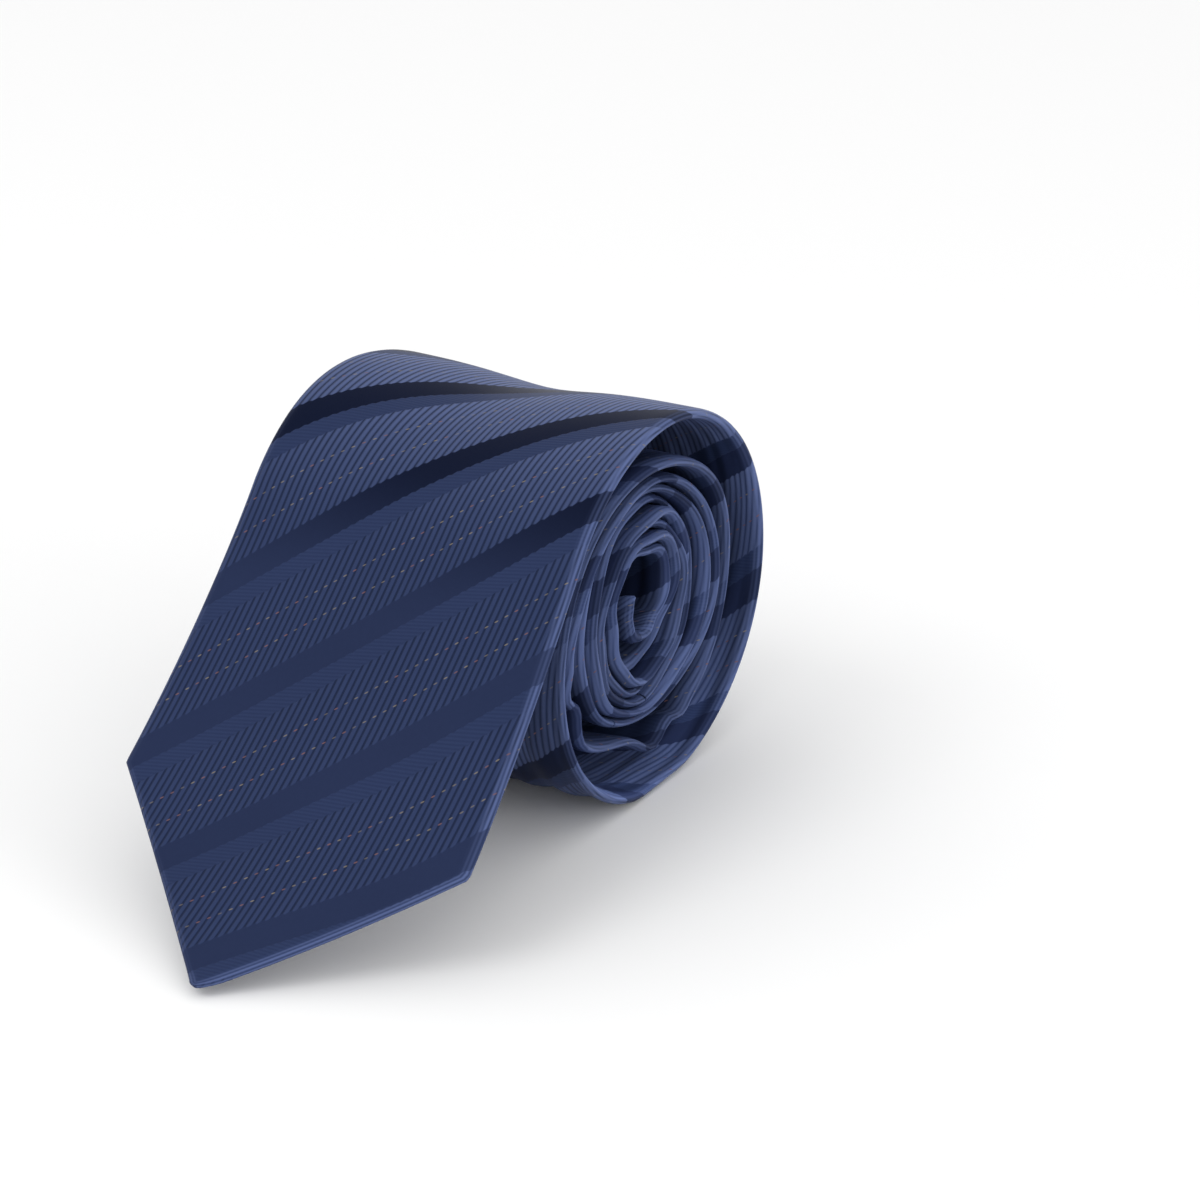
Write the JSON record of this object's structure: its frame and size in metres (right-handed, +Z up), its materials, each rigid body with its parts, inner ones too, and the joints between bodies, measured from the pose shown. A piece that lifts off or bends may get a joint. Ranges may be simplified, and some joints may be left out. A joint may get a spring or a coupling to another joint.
{
  "type": "rolled necktie",
  "caption": "Wide striped tie rolled up from its narrow end, standing on the roll, with the pointed front blade hanging off it to the surface.",
  "frame": {"origin": "middle of the tie's outline, on the surface it stands on", "axes": "+X along the roll's axis, +Y from the blade's point towards the roll, +Z up"},
  "size_m": [0.0852, 0.1716, 0.0843],
  "materials": {
    "silk": "woven navy silk with a twill rib and dark satin stripes, soft sheen",
    "tipping": "plain smooth navy lining",
    "interlining": "brushed off-white wool canvas",
    "thread": "matte navy sewing thread"
  },
  "bodies": {
    "roll": {"blade_shell_rolled": "silk", "neck_shell": "silk", "tail_shell": "silk", "tail_end_shell": "silk", "blade_interlining_rolled": "interlining", "tail_interlining": "interlining", "tail_tipping": "tipping", "slip_stitch_rolled": "thread", "tail_bar_tack": "thread", "keeper_loop": "silk", "keeper_stitch_left": "thread", "keeper_stitch_right": "thread", "blade_neck_seam": "thread", "neck_tail_seam": "thread"},
    "loose_blade": {"blade_shell_loose": "silk", "blade_interlining_loose": "interlining", "blade_tipping": "tipping", "blade_bar_tack": "thread", "slip_stitch_loose": "thread"}
  },
  "joints": [
    {"name": "blade_lift", "type": "hinge", "parent": "roll", "child": "loose_blade", "pos_m": [-0.00166, -0.01171, 0.05501], "axis": [-1, 0, 0], "range_deg": [0, 60]}
  ]
}
